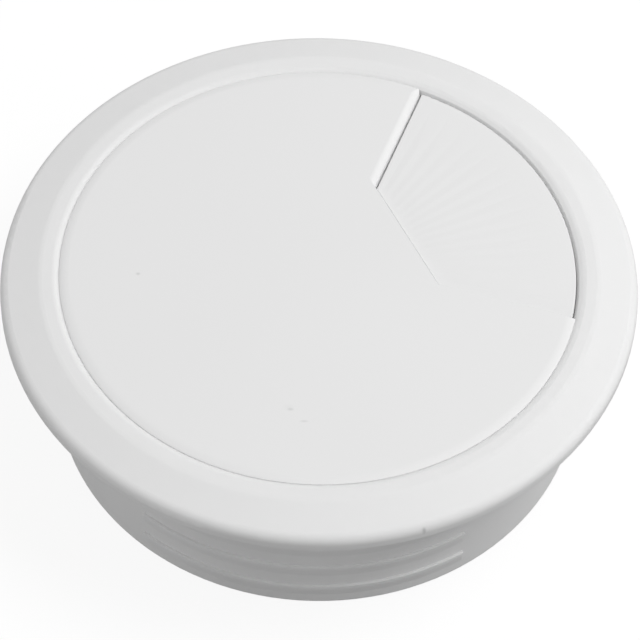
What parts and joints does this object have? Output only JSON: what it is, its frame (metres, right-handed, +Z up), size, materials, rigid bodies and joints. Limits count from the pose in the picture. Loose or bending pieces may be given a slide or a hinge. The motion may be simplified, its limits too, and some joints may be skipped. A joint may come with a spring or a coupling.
{
  "type": "desk cable outlet",
  "caption": "Round desk cable outlet: a flanged sleeve for a hole in a desk top, a flush lid that turns in its seat, and a sprung wedge flap that opens to let cables through.",
  "frame": {"origin": "on the sleeve's axis in the plane of the flange's underside, which rests on the desk top", "axes": "+Z up out of the desk along the sleeve's axis, +X through the middle of the outlet, +Y along the hinge pin"},
  "size_m": [0.07, 0.07, 0.0215],
  "materials": {
    "white_plastic": "fine satin moulding",
    "steel": "drawn wire"
  },
  "bodies": {
    "liner": {"liner": "white_plastic"},
    "lid": {"lid": "white_plastic", "hinge_pin": "steel", "flap_spring": "steel"},
    "flap": {"flap": "white_plastic"}
  },
  "joints": [
    {"name": "lid_turn", "type": "hinge", "parent": "liner", "child": "lid", "pos_m": [0, 0, 0], "axis": [0, 0, 1], "continuous": true},
    {"name": "flap_swing", "type": "hinge", "parent": "lid", "child": "flap", "pos_m": [0.0086, 0, -0.0004], "axis": [0, 1, 0], "range_deg": [0, 75], "stiffness_Nm_per_rad": 0.0135, "springref_deg": -14.32, "deforming": ["flap_spring"]}
  ]
}
